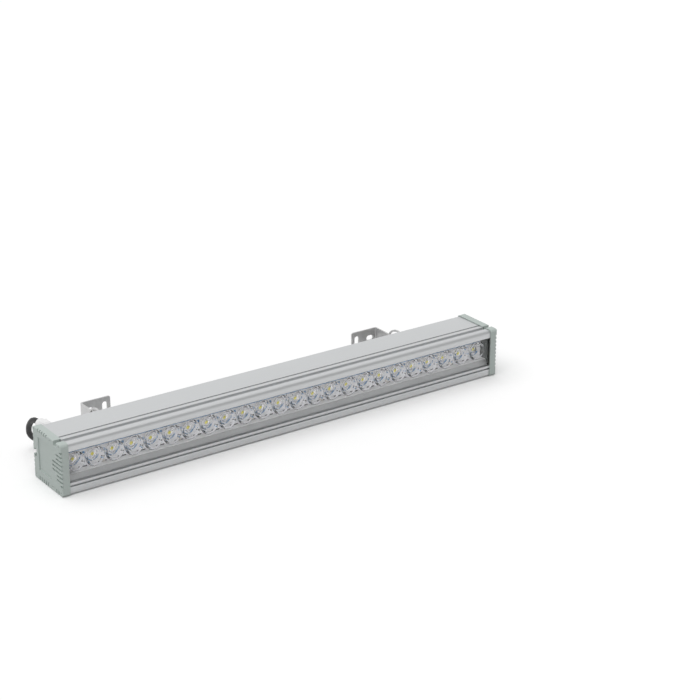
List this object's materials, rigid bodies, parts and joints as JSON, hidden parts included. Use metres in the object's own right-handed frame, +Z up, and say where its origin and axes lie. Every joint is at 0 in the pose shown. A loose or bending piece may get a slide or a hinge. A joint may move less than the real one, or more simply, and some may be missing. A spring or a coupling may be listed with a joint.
{
  "type": "outdoor wall washer light",
  "caption": "Linear wall washer light: extruded aluminium bar with lenses behind glass, moulded end caps, rear cable gland with lead, and tilting wall brackets",
  "frame": {"origin": "on the surface the light stands on, under the middle of its bounding box without the lead: midway between the end caps and midway between the front of the caps and the wall faces of the brackets", "axes": "+X runs along the light toward the end without the gland, -Y is the way the glass faces, +Y points to the wall, +Z is up"},
  "size_m": [0.5, 0.13, 0.0514],
  "materials": {
    "satin_aluminium": "satin anodised",
    "clear_glass": "clear, toughened",
    "pale_rubber": "matt silicone",
    "white_board": "white solder mask",
    "led_yellow": "phosphor under clear silicone",
    "lens_plastic": "clear moulded acrylic",
    "screw_steel": "bright stainless",
    "moulding": "fine grained grey-green moulding",
    "black_rubber": "matt",
    "white_plastic": "smooth moulding",
    "green_board": "green solder mask and plastic",
    "dark_parts": "electronic parts",
    "core_plastic": "brown, blue and green-yellow insulation",
    "lead_sheath": "black rubber sheath",
    "bracket_steel": "zinc-plated sheet"
  },
  "bodies": {
    "luminaire": {"housing_profile": "satin_aluminium", "front_glass": "clear_glass", "glass_seal": "pale_rubber", "led_board_left": "white_board", "led_board_right": "white_board", "led_chips": "led_yellow", "lenses": "lens_plastic", "board_screws": "screw_steel", "end_cap_left": "moulding", "end_cap_right": "moulding", "cap_seal_left": "black_rubber", "cap_seal_right": "black_rubber", "driver_tray": "white_plastic", "driver_board": "green_board", "driver_parts": "dark_parts", "terminal_block": "green_board", "inner_wires": "core_plastic", "gland_body": "white_plastic", "gland_seal": "black_rubber", "gland_grommet": "black_rubber", "gland_nut": "white_plastic", "lead_entry": "lead_sheath", "lead_run": "lead_sheath", "lead_coil": "lead_sheath", "lead_tail": "lead_sheath", "lead_cores": "core_plastic", "core_ferrules": "screw_steel"},
    "left_clamp": {"left_clamp_bracket": "bracket_steel", "left_slot_nut": "bracket_steel", "left_slot_screws": "screw_steel", "left_pivot_screw": "screw_steel", "left_pivot_nut": "screw_steel"},
    "left_wall_arm": {"left_wall_bracket": "bracket_steel", "left_lock_screw": "screw_steel", "left_lock_washer": "screw_steel", "left_lock_nut": "screw_steel"},
    "right_clamp": {"right_clamp_bracket": "bracket_steel", "right_slot_nut": "bracket_steel", "right_slot_screws": "screw_steel", "right_pivot_screw": "screw_steel", "right_pivot_nut": "screw_steel"},
    "right_wall_arm": {"right_wall_bracket": "bracket_steel", "right_lock_screw": "screw_steel", "right_lock_washer": "screw_steel", "right_lock_nut": "screw_steel"}
  },
  "joints": [
    {"name": "left_clamp_slide", "type": "slide", "parent": "luminaire", "child": "left_clamp", "axis": [1, 0, 0], "range_m": [-0.02, 0.06]},
    {"name": "left_tilt", "type": "hinge", "parent": "left_clamp", "child": "left_wall_arm", "pos_m": [-0.1755, 0.0175, 0.026], "axis": [1, 0, 0], "range_deg": [-90, 90]},
    {"name": "right_clamp_slide", "type": "slide", "parent": "luminaire", "child": "right_clamp", "axis": [-1, 0, 0], "range_m": [-0.02, 0.06]},
    {"name": "right_tilt", "type": "hinge", "parent": "right_clamp", "child": "right_wall_arm", "pos_m": [0.1755, 0.0175, 0.026], "axis": [1, 0, 0], "range_deg": [-90, 90]}
  ]
}
